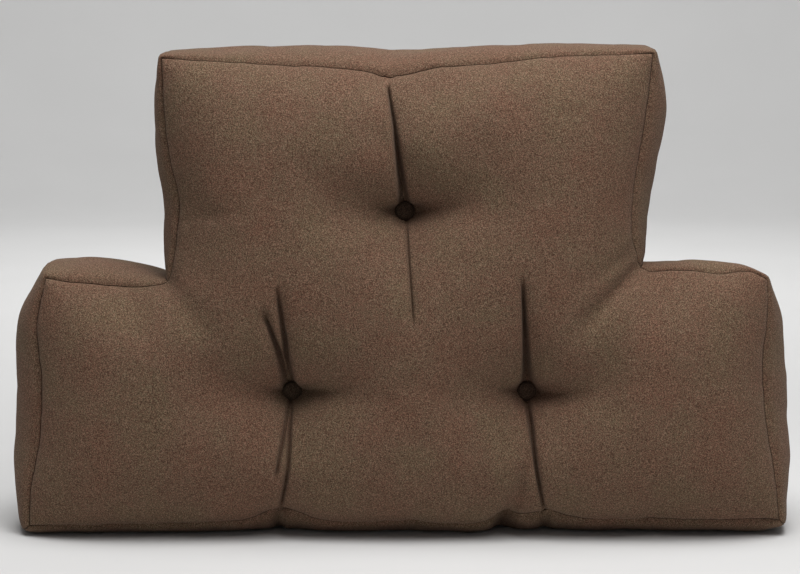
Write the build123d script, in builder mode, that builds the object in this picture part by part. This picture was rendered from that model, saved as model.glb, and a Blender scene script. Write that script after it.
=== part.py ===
from build123d import *
import os

# A button-tufted back cushion for an armchair.
#
# The cushion is an upside-down T: a tall upper block stands on a wider lower block, whose two wings
# fill the chair from arm to arm. The cover is a front panel, a back panel in two parts with a zip
# between them, and a boxing band in four lengths. Inside it are a liner bag and a mass of fibre fill.
# Three tufts draw the front and the back together, each with a covered button at both ends of a loop
# of twine. The zip's slider runs along its coils, and its pull tab swings over from side to side.
#
# Frame: +X across the cushion, to the right of someone facing its front. +Y runs from the front to
# the back, and +Z is up. The origin is at the middle of the flat underside.
#
# All sizes are in millimetres.

# ---- Outline, seen from the front ----
WIDTH = 600.0  # at the widest point of the wings
BASE_HALF_WIDTH = 296.0  # bottom corner, before it is rounded
WIDEST_Z = 50.0  # height of the wings' widest point
WING_CORNER = (288.0, 217.0)  # outer top corner of a wing, before it is rounded
NOTCH_CORNER = (183.0, 196.0)  # inner corner between a wing and the upper block
NECK_MIDDLE = (185.5, 268.0)  # where the upper block's side pulls in
TOP_CORNER = (197.0, 373.8)  # top corner of the upper block, before it is rounded
TOP_MIDDLE = (0.0, 363.8)  # the top edge sags between its corners
TOP_SAG_RADIUS = 380.0  # rounds the top edge at its middle
BASE_CORNER = (BASE_HALF_WIDTH, 0.0)
CORNERS = ((BASE_CORNER, 36.0), (WING_CORNER, 48.0), (NOTCH_CORNER, 12.0), (TOP_CORNER, 36.0))  # with radii

# ---- Section, from front to back ----
DEPTH = 150.0  # crown to crown
EDGE_RADIUS = 34.0  # rounding of the front and back crowns into the band
SEAM_Y = 47.0  # the two seam planes stand this far from the middle plane
COVER = 1.2  # upholstery fabric
LINER = 0.4  # non-woven bag around the fill
EASE = 0.2  # air between cover, liner and fill

# ---- Tufts ----
TUFTS = {"upper": (-1.0, 247.5), "lower_left": (-86.0, 111.0), "lower_right": (91.0, 111.0)}
WELL_DEPTH = {"front": 40.0, "back": 34.0}  # from the crown down to the button's seat
WELL_FLARE = 2.0  # the flare's radius is this much larger than the well is deep
THROAT_RADIUS = 8.4  # of a well at the button
COVER_HOLE_RADIUS = 3.2  # lets the button's eye through
FILL_HOLE_RADIUS = 4.0
WELL_WALL_REACH = 18.0  # the cover within this distance of a tuft's axis belongs to a panel, not the band

# ---- Covered buttons, 24 line (15 mm), as radius and height above the seat ----
BUTTON_RADIUS = 7.5
BUTTON_HEIGHT = 5.4
BUTTON_FABRIC = 0.7
BUTTON_SHELL = 0.5
BUTTON_WALL = 1.3  # straight part of the button's side
BUTTON_RIM = 1.1  # width of the fabric turned in under the shell
BACK_PLATE = 0.6
EYE_WIRE = 1.0  # diameter
EYE_HALF_WIDTH = 2.2
EYE_LEG = 0.8
TWINE = 1.2  # diameter
TWINE_HALF_GAP = 1.2  # each strand stands this far from the tuft's axis
KNOT_RADIUS = 1.9
KNOT_FROM_EYE = 7.0

# ---- Zip, a number 5 nylon coil across the lower part of the back ----
ZIP_Z = 49.0
ZIP_OPENING = (470.0, 10.0)  # length and height of the gap between the folded edges
TAPE_LENGTH = 486.0
TAPE_WIDTH = 13.0
TAPE = 0.6
CHAIN_GAP = 0.8  # between the two tapes, where the coils interlock
COIL_WIDTH = 2.6
COIL_HEIGHT = 2.0
COIL_END = 225.0  # each coil runs this far from the middle
STOP_LENGTH = 3.0
STOP_CLEARANCE = 0.5
SLIDER_LENGTH = 12.0
SLIDER_WIDTH = 9.0
SLIDER_PLATE = 1.0
SLIDER_CLEARANCE = 0.3
SLIDER_LIP = 0.9  # width of the lips along the slider's sides
SLIDER_X = 218.0  # middle of the slider with the zip closed
BAIL_WIDTH = 2.0
BAIL_LENGTH = 7.0
BAIL_HEIGHT = 3.6
BAIL_BAR = 1.0
TAB_LENGTH = 27.0
TAB_WIDTH = 6.4
TAB_END_WIDTH = 7.6
TAB = 1.2
TAB_SLOT = (4.4, 3.0)  # length and width of the slot that the bail passes through
TAB_CROSS_BAR = 1.6

# ---- Care label, left blank ----
LABEL_SIZE = (22.0, 30.0)
LABEL = 0.4
LABEL_X = -262.0

MIDDLE = DEPTH / 2
OUTWARD = {"front": -1, "back": 1}
COVER_BACK = MIDDLE - COVER  # inner face of the back panel's crown
TAPE_BACK = COVER_BACK - TAPE
SLIDER_UNDERSIDE = TAPE_BACK - SLIDER_CLEARANCE - SLIDER_PLATE
GROOVE_FLOOR = SLIDER_UNDERSIDE - 0.7  # the liner stays clear of the slider's lower plate
LINER_INSET = COVER + EASE
FILL_INSET = LINER_INSET + LINER + EASE


def tuft_plane(x, z, side):
    """A plane through a tuft's axis: origin on the button's seat, +x along the radius, +y outward."""
    outward = OUTWARD[side]
    seat = outward * (MIDDLE - WELL_DEPTH[side])
    return Plane(origin=(x, seat, z), x_dir=(1, 0, 0), z_dir=(0, 0, outward))


def tuft_axis(x, z):
    return Axis((x, 0, z), (0, 1, 0))


def cushion_form(inset):
    """The stuffed cushion's outer form with its six wells, taken in by inset on every side."""
    with BuildPart() as form:
        with BuildSketch(Plane.XZ.offset(MIDDLE - inset)) as face:
            with BuildLine():
                Line((-BASE_HALF_WIDTH, 0), BASE_CORNER)
                wing_side = ThreePointArc(BASE_CORNER, (WIDTH / 2, WIDEST_Z), WING_CORNER)
                wing_top = Line(WING_CORNER, NOTCH_CORNER)
                neck = ThreePointArc(NOTCH_CORNER, NECK_MIDDLE, TOP_CORNER)
                top = Line(TOP_CORNER, TOP_MIDDLE)
                mirror([wing_side, wing_top, neck, top], about=Plane.YZ)
            make_face()
            for (x, z), radius in CORNERS:
                for corner in ((x, z), (-x, z)):
                    fillet(face.vertices().sort_by_distance(corner)[0], radius)
            fillet(face.vertices().sort_by_distance(TOP_MIDDLE)[0], TOP_SAG_RADIUS)
            if inset:
                offset(amount=-inset, mode=Mode.REPLACE)
        extrude(amount=2 * inset - DEPTH)
        fillet(form.faces().filter_by(Axis.Y).edges(), EDGE_RADIUS - inset)
        for x, z in TUFTS.values():
            for side in OUTWARD:
                # Half of a trumpet-shaped well, drawn from the button's seat outward.
                flare = WELL_DEPTH[side] + WELL_FLARE
                rim = flare - inset
                throat = THROAT_RADIUS + inset
                centre = THROAT_RADIUS + flare
                with BuildSketch(tuft_plane(x, z, side)):
                    with BuildLine():
                        Polyline((centre, rim), (0, rim), (0, -inset), (throat, -inset))
                        if inset:
                            Line((throat, -inset), (throat, 0))
                        RadiusArc((throat, 0), (centre, rim), rim)
                    make_face()
                revolve(axis=tuft_axis(x, z), mode=Mode.SUBTRACT)
    return form.part


def zip_groove(growth):
    """The shallow trough behind the zip in which the slider's lower plate runs."""
    with BuildPart() as trough:
        with BuildSketch(Plane.XZ.offset(-GROOVE_FLOOR + growth)):
            with Locations((0, ZIP_Z)):
                Rectangle(TAPE_LENGTH + 2 + 2 * growth, 2 * TAPE_WIDTH + 2 + 2 * growth)
        extrude(amount=-MIDDLE)
    return trough.part


def tuft_cylinders(radius, reach):
    """Three cylinders along the tufts' axes, reaching as far to the front as to the back."""
    with BuildPart() as cylinders:
        with BuildSketch(Plane.XZ):
            with Locations(*TUFTS.values()):
                Circle(radius)
        extrude(amount=reach, both=True)
    return cylinders.part


def mitre(apex_z, spread, towards):
    """A triangle through the whole depth, its two sides leaving an apex on the centre line at 45 degrees."""
    with BuildPart() as wedge:
        with BuildSketch(Plane.XZ):
            with BuildLine():
                Polyline(
                    (0, apex_z),
                    (spread, apex_z + towards * spread),
                    (-spread, apex_z + towards * spread),
                    close=True,
                )
            make_face()
        extrude(amount=DEPTH, both=True)
    return wedge.part


def save(part, name):
    """Names a finished piece and writes it as the node of that name."""
    part.label = name
    export_step(part, f"parts/{name}.step")


os.makedirs("parts", exist_ok=True)

# ---- Cover ----
cover_outside = cushion_form(0)
cover_inside = cushion_form(COVER)
cover_holes = tuft_cylinders(COVER_HOLE_RADIUS, MIDDLE)

with BuildPart() as cover:
    add(cover_outside)
    add(cover_inside, mode=Mode.SUBTRACT)
    add(cover_holes, mode=Mode.SUBTRACT)

FRONT_SEAM = Plane.XZ.offset(SEAM_Y)
BACK_SEAM = Plane.XZ.offset(-SEAM_Y)

# The wells are deeper than the seams, so between the seams their walls are split at the middle plane.
well_space = tuft_cylinders(WELL_WALL_REACH, SEAM_Y)
well_walls = {}
for side, keep in (("front", Keep.TOP), ("back", Keep.BOTTOM)):
    with BuildPart() as walls:
        add(cover.part)
        add(well_space, mode=Mode.INTERSECT)
        split(bisect_by=Plane.XZ, keep=keep)
    well_walls[side] = walls.part

with BuildPart() as front_panel:
    add(cover.part)
    split(bisect_by=FRONT_SEAM, keep=Keep.TOP)
    add(well_walls["front"])
save(front_panel.part, "front_panel")

with BuildPart() as back_panel:
    add(cover.part)
    split(bisect_by=BACK_SEAM, keep=Keep.BOTTOM)
    add(well_walls["back"])
    with BuildSketch(BACK_SEAM):
        with Locations((0, ZIP_Z)):
            Rectangle(*ZIP_OPENING)
    extrude(amount=-DEPTH, mode=Mode.SUBTRACT)

for name, keep in (("back_panel_upper", Keep.TOP), ("back_panel_lower", Keep.BOTTOM)):
    with BuildPart() as half:
        add(back_panel.part)
        split(bisect_by=Plane.XY.offset(ZIP_Z), keep=keep)
    save(half.part, name)

with BuildPart() as boxing:
    add(cover.part)
    split(bisect_by=FRONT_SEAM, keep=Keep.BOTTOM)
    split(bisect_by=BACK_SEAM, keep=Keep.TOP)
    add(well_space, mode=Mode.SUBTRACT)

# The band is joined at the two inner corners and at the two bottom corners.
crown_mitre = mitre(NOTCH_CORNER[1] - NOTCH_CORNER[0], WIDTH, 1)
base_mitre = mitre(BASE_HALF_WIDTH, WIDTH, -1)

with BuildPart() as crown_band:
    add(boxing.part)
    add(crown_mitre, mode=Mode.INTERSECT)
save(crown_band.part, "crown_band")

with BuildPart() as bottom_band:
    add(boxing.part)
    add(base_mitre, mode=Mode.INTERSECT)
save(bottom_band.part, "bottom_band")

for name, keep in (("right_wing_band", Keep.TOP), ("left_wing_band", Keep.BOTTOM)):
    with BuildPart() as wing_band:
        add(boxing.part)
        add(crown_mitre, mode=Mode.SUBTRACT)
        add(base_mitre, mode=Mode.SUBTRACT)
        split(bisect_by=Plane.YZ, keep=keep)
    save(wing_band.part, name)

# ---- Liner bag and fill ----
liner_outside = cushion_form(LINER_INSET)
liner_inside = cushion_form(LINER_INSET + LINER)
liner_trough = zip_groove(0)
liner_trough_inside = zip_groove(LINER)
fill_holes = tuft_cylinders(FILL_HOLE_RADIUS, MIDDLE)

with BuildPart() as liner_hollow:
    add(liner_inside)
    add(liner_trough_inside, mode=Mode.SUBTRACT)

for name, keep in (("liner_front", Keep.TOP), ("liner_back", Keep.BOTTOM)):
    with BuildPart() as liner:
        add(liner_outside)
        add(liner_trough, mode=Mode.SUBTRACT)
        add(liner_hollow.part, mode=Mode.SUBTRACT)
        add(fill_holes, mode=Mode.SUBTRACT)
        split(bisect_by=Plane.XZ, keep=keep)
    save(liner.part, name)

with BuildPart() as fibre_fill:
    add(cushion_form(FILL_INSET))
    add(zip_groove(LINER + EASE), mode=Mode.SUBTRACT)
    add(fill_holes, mode=Mode.SUBTRACT)
save(fibre_fill.part, "fibre_fill")

# ---- Covered buttons ----
SHELL_RADIUS = BUTTON_RADIUS - BUTTON_FABRIC
SHELL_HEIGHT = BUTTON_HEIGHT - BUTTON_FABRIC
RIM_RADIUS = BUTTON_RADIUS - BUTTON_FABRIC - BUTTON_RIM
PLATE_TOP = 0.1 + BACK_PLATE


def dome(base, wall, radius, height):
    """Draws half of a button's section: straight up its side, then over in an arc to the axis."""
    Polyline((0, height), (0, base), (radius, base), (radius, base + wall))
    TangentArc((0, height), (radius, base + wall), tangent=(1, 0))


def button_fabric(x, z, side):
    """The disc of cover fabric drawn over the shell and turned in under its rim."""
    with BuildPart() as fabric:
        with BuildSketch(tuft_plane(x, z, side)):
            with BuildLine():
                dome(0, BUTTON_FABRIC + BUTTON_WALL, BUTTON_RADIUS, BUTTON_HEIGHT)
            make_face()
            with BuildLine():
                dome(BUTTON_FABRIC, BUTTON_WALL, SHELL_RADIUS, SHELL_HEIGHT)
            make_face(mode=Mode.SUBTRACT)
            with Locations((RIM_RADIUS / 2, BUTTON_FABRIC / 2)):
                Rectangle(RIM_RADIUS, BUTTON_FABRIC, mode=Mode.SUBTRACT)
        revolve(axis=tuft_axis(x, z))
    return fabric.part


def button_shell(x, z, side):
    """The domed metal shell under the fabric."""
    with BuildPart() as shell:
        with BuildSketch(tuft_plane(x, z, side)):
            with BuildLine():
                dome(BUTTON_FABRIC, BUTTON_WALL, SHELL_RADIUS, SHELL_HEIGHT)
            make_face()
            with BuildLine():
                dome(
                    BUTTON_FABRIC,
                    BUTTON_WALL,
                    SHELL_RADIUS - BUTTON_SHELL,
                    SHELL_HEIGHT - BUTTON_SHELL,
                )
            make_face(mode=Mode.SUBTRACT)
        revolve(axis=tuft_axis(x, z))
    return shell.part


def button_plate(x, z, side):
    """The flat plate pressed into the back of the button, inside the turned-in fabric."""
    with BuildPart() as plate:
        with BuildSketch(tuft_plane(x, z, side)):
            with Locations((RIM_RADIUS / 2, 0.1 + BACK_PLATE / 2)):
                Rectangle(RIM_RADIUS - 0.2, BACK_PLATE)
            with Locations((0.1, 0.1 + BACK_PLATE / 2)):
                Rectangle(0.2, BACK_PLATE)
        revolve(axis=tuft_axis(x, z))
    return plate.part


def button_eye(x, z, side):
    """The wire loop under the plate, which the twine passes through."""
    seat = tuft_plane(x, z, side)
    with BuildPart() as eye:
        with BuildLine(seat):
            Line((-EYE_HALF_WIDTH, 0.1), (-EYE_HALF_WIDTH, -EYE_LEG))
            ThreePointArc(
                (-EYE_HALF_WIDTH, -EYE_LEG),
                (0, -EYE_LEG - EYE_HALF_WIDTH),
                (EYE_HALF_WIDTH, -EYE_LEG),
            )
            Line((EYE_HALF_WIDTH, -EYE_LEG), (EYE_HALF_WIDTH, 0.1))
        foot = seat.from_local_coords((-EYE_HALF_WIDTH, 0.1, 0))
        with BuildSketch(Plane(origin=foot, x_dir=(1, 0, 0), z_dir=-seat.y_dir)):
            Circle(EYE_WIRE / 2)
        sweep()
    return eye.part


def eye_depth(side):
    """Where along Y the middle of the eye's wire lies."""
    return OUTWARD[side] * (MIDDLE - WELL_DEPTH[side] - EYE_LEG - EYE_HALF_WIDTH)


def tuft_twine(x, z):
    """The closed loop of twine between the two buttons' eyes, with its knot near the back one."""
    front, back = eye_depth("front"), eye_depth("back")
    top, bottom = z + TWINE_HALF_GAP, z - TWINE_HALF_GAP
    with BuildPart() as twine:
        with BuildLine(Plane.YZ.offset(x)):
            Line((front, top), (back, top))
            ThreePointArc((back, top), (back + TWINE_HALF_GAP, z), (back, bottom))
            Line((back, bottom), (front, bottom))
            ThreePointArc((front, bottom), (front - TWINE_HALF_GAP, z), (front, top))
        with BuildSketch(Plane(origin=(x, front, top), z_dir=(0, 1, 0))):
            Circle(TWINE / 2)
        sweep()
        with Locations((x, back - KNOT_FROM_EYE, top)):
            Sphere(KNOT_RADIUS)
    return twine.part


for tuft, (x, z) in TUFTS.items():
    for side in OUTWARD:
        save(button_fabric(x, z, side), f"{tuft}_{side}_button_fabric")
        save(button_shell(x, z, side), f"{tuft}_{side}_button_shell")
        save(button_plate(x, z, side), f"{tuft}_{side}_button_plate")
        save(button_eye(x, z, side), f"{tuft}_{side}_button_eye")
    save(tuft_twine(x, z), f"{tuft}_tuft_twine")

# ---- Zip ----
COIL_FOOT = CHAIN_GAP / 2


def zip_tape(up):
    """Half of the zip's woven tape, sewn behind the folded edge of the cover."""
    with BuildPart() as tape:
        with BuildSketch(Plane.XZ.offset(-TAPE_BACK)):
            with Locations((0, ZIP_Z + up * (COIL_FOOT + TAPE_WIDTH / 2))):
                Rectangle(TAPE_LENGTH, TAPE_WIDTH)
        extrude(amount=-TAPE)
    return tape.part


def zip_coil(up):
    """The row of coil teeth along a tape's inner edge, as one rounded ridge."""
    with BuildPart() as coil:
        with BuildSketch(Plane.YZ.offset(-COIL_END)):
            with Locations((COVER_BACK + COIL_HEIGHT / 2, ZIP_Z + up * (COIL_FOOT + COIL_WIDTH / 2))):
                RectangleRounded(COIL_HEIGHT, COIL_WIDTH, 0.45 * COIL_HEIGHT)
        extrude(amount=2 * COIL_END)
    return coil.part


def zip_stop(x, z_low, z_high, web_low, web_high):
    """A crimp over a tape: an outer bar, an inner bar and the web that joins them past its edge."""
    bar = (STOP_LENGTH, COIL_HEIGHT - 0.2, z_high - z_low)
    with BuildPart() as stop:
        with Locations((x, COVER_BACK, (z_low + z_high) / 2)):
            Box(*bar, align=(Align.CENTER, Align.MIN, Align.CENTER))
        fillet(stop.edges().group_by(Axis.Y)[-1], 0.5)
        with Locations((x, TAPE_BACK, (z_low + z_high) / 2)):
            Box(bar[0], 0.8, bar[2], align=(Align.CENTER, Align.MAX, Align.CENTER))
        with Locations((x, TAPE_BACK, (web_low + web_high) / 2)):
            Box(bar[0], TAPE, web_high - web_low, align=(Align.CENTER, Align.MIN, Align.CENTER))
    return stop.part


save(zip_tape(1), "zip_tape_upper")
save(zip_tape(-1), "zip_tape_lower")
save(zip_coil(1), "zip_coil_upper")
save(zip_coil(-1), "zip_coil_lower")

STOP_X = COIL_END + STOP_CLEARANCE + STOP_LENGTH / 2
STOP_REACH = COIL_FOOT + COIL_WIDTH

with BuildPart() as zip_top_stops:
    add(zip_stop(STOP_X, ZIP_Z + 0.05, ZIP_Z + STOP_REACH, ZIP_Z + 0.05, ZIP_Z + COIL_FOOT))
    add(zip_stop(STOP_X, ZIP_Z - STOP_REACH, ZIP_Z - 0.05, ZIP_Z - COIL_FOOT, ZIP_Z - 0.05))
save(zip_top_stops.part, "zip_top_stops")

bottom_stop = zip_stop(
    -STOP_X, ZIP_Z - STOP_REACH, ZIP_Z + STOP_REACH, ZIP_Z - COIL_FOOT, ZIP_Z + COIL_FOOT
)
save(bottom_stop, "zip_bottom_stop")

SLIDER_TOP_FACE = COVER_BACK + COIL_HEIGHT + SLIDER_CLEARANCE  # underside of the upper plate
SLIDER_CROWN = SLIDER_TOP_FACE + SLIDER_PLATE
BAIL_AXIS_Y = SLIDER_CROWN + TAB_CROSS_BAR / 2 + 0.3

with BuildPart() as zip_slider:
    # Upper and lower plates, narrower at the closed end.
    for face_y in (SLIDER_TOP_FACE, SLIDER_UNDERSIDE):
        with BuildSketch(Plane.XZ.offset(-face_y)):
            with Locations((SLIDER_X, ZIP_Z)):
                RectangleRounded(SLIDER_LENGTH, SLIDER_WIDTH, 2.4)
        extrude(amount=-SLIDER_PLATE)
    fillet(zip_slider.edges().filter_by(GeomType.LINE, reverse=True).group_by(Axis.Y)[-1], 0.3)
    # Lips that keep the coils between the plates.
    for up in (1, -1):
        with Locations((SLIDER_X, SLIDER_TOP_FACE, ZIP_Z + up * (SLIDER_WIDTH - SLIDER_LIP) / 2)):
            Box(
                SLIDER_LENGTH - 5,
                COIL_HEIGHT - 0.4,
                SLIDER_LIP,
                align=(Align.CENTER, Align.MAX, Align.CENTER),
            )
    # The divider joins the plates at the open end, between the two tapes.
    with Locations((SLIDER_X + SLIDER_LENGTH / 2 - 0.8, SLIDER_UNDERSIDE + SLIDER_PLATE / 2, ZIP_Z)):
        Box(
            4,
            SLIDER_TOP_FACE - SLIDER_UNDERSIDE,
            CHAIN_GAP - 0.4,
            align=(Align.MAX, Align.MIN, Align.CENTER),
        )
    # The bail that holds the pull tab.
    with BuildSketch(Plane.XY.offset(ZIP_Z - BAIL_WIDTH / 2)):
        with Locations((SLIDER_X, SLIDER_CROWN + BAIL_HEIGHT / 2 - 0.2)):
            RectangleRounded(BAIL_LENGTH, BAIL_HEIGHT + 0.4, 1.4)
        with Locations((SLIDER_X, SLIDER_CROWN + (BAIL_HEIGHT - BAIL_BAR) / 2)):
            Rectangle(BAIL_LENGTH - 2 * BAIL_BAR, BAIL_HEIGHT - BAIL_BAR, mode=Mode.SUBTRACT)
    extrude(amount=BAIL_WIDTH)
save(zip_slider.part, "zip_slider")

with BuildPart() as zip_pull_tab:
    eye_end = SLIDER_X + TAB_CROSS_BAR / 2
    with BuildSketch(Plane.XZ.offset(-BAIL_AXIS_Y + TAB / 2)):
        with BuildLine():
            Polyline(
                (eye_end, ZIP_Z - TAB_WIDTH / 2),
                (eye_end, ZIP_Z + TAB_WIDTH / 2),
                (eye_end - TAB_LENGTH / 2, ZIP_Z + TAB_WIDTH / 2),
                (eye_end - TAB_LENGTH, ZIP_Z + TAB_END_WIDTH / 2),
                (eye_end - TAB_LENGTH, ZIP_Z - TAB_END_WIDTH / 2),
                (eye_end - TAB_LENGTH / 2, ZIP_Z - TAB_WIDTH / 2),
                close=True,
            )
        tab_face = make_face()
        fillet(tab_face.vertices().group_by(Axis.X)[0], 2.6)
        fillet(tab_face.vertices().group_by(Axis.X)[-1], 0.7)
        with Locations((eye_end - TAB_CROSS_BAR - TAB_SLOT[0] / 2, ZIP_Z)):
            RectangleRounded(*TAB_SLOT, 0.6, mode=Mode.SUBTRACT)
        with Locations((eye_end - TAB_LENGTH + 4.5, ZIP_Z)):
            Circle(1.6, mode=Mode.SUBTRACT)
    extrude(amount=-TAB)
save(zip_pull_tab.part, "zip_pull_tab")

# ---- Care label ----
with BuildPart() as care_label:
    with BuildSketch(Plane.XZ.offset(-MIDDLE)):
        with Locations((LABEL_X, ZIP_Z)):
            Rectangle(*LABEL_SIZE, align=(Align.CENTER, Align.MAX))
    extrude(amount=-LABEL)
save(care_label.part, "care_label")
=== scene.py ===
import math

import bpy
import numpy as np
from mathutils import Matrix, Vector
from mathutils.bvhtree import BVHTree


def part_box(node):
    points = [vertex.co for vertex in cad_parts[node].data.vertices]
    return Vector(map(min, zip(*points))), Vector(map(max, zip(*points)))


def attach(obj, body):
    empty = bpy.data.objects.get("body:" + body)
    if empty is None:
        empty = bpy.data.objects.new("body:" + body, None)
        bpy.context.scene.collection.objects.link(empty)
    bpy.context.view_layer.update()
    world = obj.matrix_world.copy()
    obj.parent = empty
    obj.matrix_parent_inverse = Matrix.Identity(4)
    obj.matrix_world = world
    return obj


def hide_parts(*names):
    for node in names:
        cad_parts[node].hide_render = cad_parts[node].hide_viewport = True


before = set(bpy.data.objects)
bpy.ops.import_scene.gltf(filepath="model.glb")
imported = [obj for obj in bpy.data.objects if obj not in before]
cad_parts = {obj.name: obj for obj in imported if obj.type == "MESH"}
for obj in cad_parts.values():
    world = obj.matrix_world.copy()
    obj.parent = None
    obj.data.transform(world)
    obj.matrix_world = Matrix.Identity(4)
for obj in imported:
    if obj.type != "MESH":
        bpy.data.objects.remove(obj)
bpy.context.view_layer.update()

# A button-tufted back cushion. Lengths are in millimetres until a mesh is made, and MM turns them into
# metres. x runs across the cushion, y from its front to its back and z up, as in the frame. A side that
# faces the front is "front" and points along -y; "back" points along +y.
MM = 0.001
OUTWARD = {"front": -1, "back": 1}


def node_box(name):
    """A CAD node's lowest and highest corner, in millimetres."""
    low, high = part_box(name)
    return np.array(low) / MM, np.array(high) / MM


# ---- What the frame says ----
TUFTS = ("upper", "lower_left", "lower_right")
AXES = {tuft: sum(node_box(f"{tuft}_front_button_fabric"))[[0, 2]] / 2 for tuft in TUFTS}
BUTTON_LOW, BUTTON_HIGH = node_box("upper_front_button_fabric")
BUTTON_RADIUS = (BUTTON_HIGH[0] - BUTTON_LOW[0]) / 2
BUTTON_HEIGHT = BUTTON_HIGH[1] - BUTTON_LOW[1]
CROWN = {"front": -node_box("front_panel")[0][1], "back": node_box("back_panel_upper")[1][1]}
SEAT = {"front": -BUTTON_HIGH[1], "back": node_box("upper_back_button_fabric")[0][1]}
ZIP_Z = (node_box("zip_tape_upper")[0][2] + node_box("zip_tape_lower")[1][2]) / 2

# ---- Section ----
SEAM_Y = 46.0  # of the front and back seams, from the middle plane
CLOTH = 1.2  # thickness of the upholstery fabric
LINER = 0.4  # and of the liner's
LINER_DEPTH, FILL_DEPTH = CLOTH + 0.5, CLOTH + 1.3  # how far inside the cover they start
ZIP_ROOM = 3.0  # and how much further behind the zip
EYELET_RADIUS = 3.0  # the fabric is open this far around a tuft's twine
OPENING = (235.0, 5.0)  # half the length and half the height of the zip's opening
# The back panel is flat this far above and below the zip and this far out, then eases into its curve.
ZIP_FLAT, ZIP_FLAT_END = 14.0, 245.0
ZIP_EASE, ZIP_EASE_END = 12.0, 14.0

# ---- The seams' outline, seen from the front ----
# Each side of the upside-down T is a smooth curve through a few points (x, z).
BASE_LEFT, BASE_RIGHT = (-287, 9), (284, 13)
FOOT_LEFT, FOOT_RIGHT = (-178, 8.5), (174, 12)
WING_LEFT, WING_RIGHT = (-270, 199.5), (271, 197)
NOTCH_LEFT, NOTCH_RIGHT = (-179, 196.5), (176, 206)
TOP_LEFT, TOP_RIGHT = (-181, 362), (182.5, 365)
CROWN_DIP = (-13, 349.8)
# Each side: the band it belongs to, its points, and how far the band bulges at even steps along it.
SIDES = {
    "foot_left": ("bottom_band", (BASE_LEFT, (-235, 8), FOOT_LEFT), (8, 9, 9)),
    "foot": (
        "bottom_band",
        (FOOT_LEFT, (-125, 12), (-93, 20), (-60, 11.5), (0, 9))
        + ((55, 10), (84, 18.5), (105, 18.5), (135, 13), FOOT_RIGHT),
        (9, 9),
    ),
    "foot_right": ("bottom_band", (FOOT_RIGHT, (230, 13), BASE_RIGHT), (9, 9, 7)),
    "side_right": (
        "right_wing_band",
        (BASE_RIGHT, (279, 48), (270.5, 95), (268, 134), (272, 172), WING_RIGHT),
        (6, 17, 21, 23, 18, 0),
    ),
    "wing_right": (
        "right_wing_band",
        (WING_RIGHT, (259, 204.5), (235, 206), (205, 207.5), NOTCH_RIGHT),
        (0, 0, 1, 3, 1, 1),
    ),
    "neck_right": (
        "crown_band",
        (NOTCH_RIGHT, (171.5, 228), (171.5, 258), (176.5, 305), (181, 345), TOP_RIGHT),
        (9, 11.5, 13, 17, 17, 0),
    ),
    "crown": (
        "crown_band",
        (TOP_RIGHT, (106, 363.5), (45, 358.5), (20, 356), (-4, 351))
        + (CROWN_DIP, (-28, 353), (-50, 356), (-98, 358.5), TOP_LEFT),
        (0, 1, 4, 7.5, 4.5, 0),
    ),
    "neck_left": (
        "crown_band",
        (TOP_LEFT, (-181, 331), (-177, 280), (-173, 258), (-174.5, 225), NOTCH_LEFT),
        (0, 6, 7, 6, 6, 4),
    ),
    "wing_left": (
        "left_wing_band",
        (NOTCH_LEFT, (-199, 194.5), (-235, 196.5), WING_LEFT),
        (1, 3.5, 7, 9, 8, 2),
    ),
    "side_left": (
        "left_wing_band",
        (WING_LEFT, (-277, 167), (-273, 118), (-275, 80), (-285, 34), BASE_LEFT),
        (2, 20, 25, 26, 20.5, 8),
    ),
}
# How much higher the back seam runs than the front one at some of these points.
BACK_RISE = {
    NOTCH_LEFT: -8, NOTCH_RIGHT: -12, (205, 207.5): -12, (235, 206): -12, (259, 204.5): -10, WING_RIGHT: -5,
    (20, 356): 1, (-4, 351): 4.5, CROWN_DIP: 5.5, (-28, 353): 3.5, (-50, 356): 1,
}
PANELS = ("front_panel", "back_panel_upper", "back_panel_lower")
BANDS = ("crown_band", "left_wing_band", "right_wing_band", "bottom_band")
PIECES = PANELS + BANDS

# ---- The panels' rise, and the wells around the tufts ----
EDGE_SOFTNESS = {"front": 27.0, "back": 14.0}  # a panel rises from its seam over about this far
EDGE_LIFT = {"front": 1.06, "back": 1.0}  # and by this share of its crown's height over the seam
WELL_RADIUS = 5.8  # the fabric starts to rise from a button's seat here
# A well is three dips added up. Each has a share of the depth and fades over its reach.
STEEP_SHARE, STEEP_REACH = 0.4, 2.1
FUNNEL_SHARE, FUNNEL_REACH = 0.25, 8.0
DIP_SHARE, DIP_REACH = 0.35, {"front": 29.0, "back": 16.0}
WELL_MERGE = 0.35  # where two wells meet, this share of the shallower one is added
SEAT_EASE = 2.5  # the fabric eases into the seat's plane over about this height
SAG_HEIGHT, SAG_RADIUS, SAG_WIDTH = 5.5, 14.0, 8.0  # above a front button the fabric hangs in a ring
GATHERS, WIDE_GATHERS = 9, 5  # narrow and wide gathers around a well
GATHER_HEIGHT, GATHER_START, GATHER_REACH = 0.8, 2.5, 9.0

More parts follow.
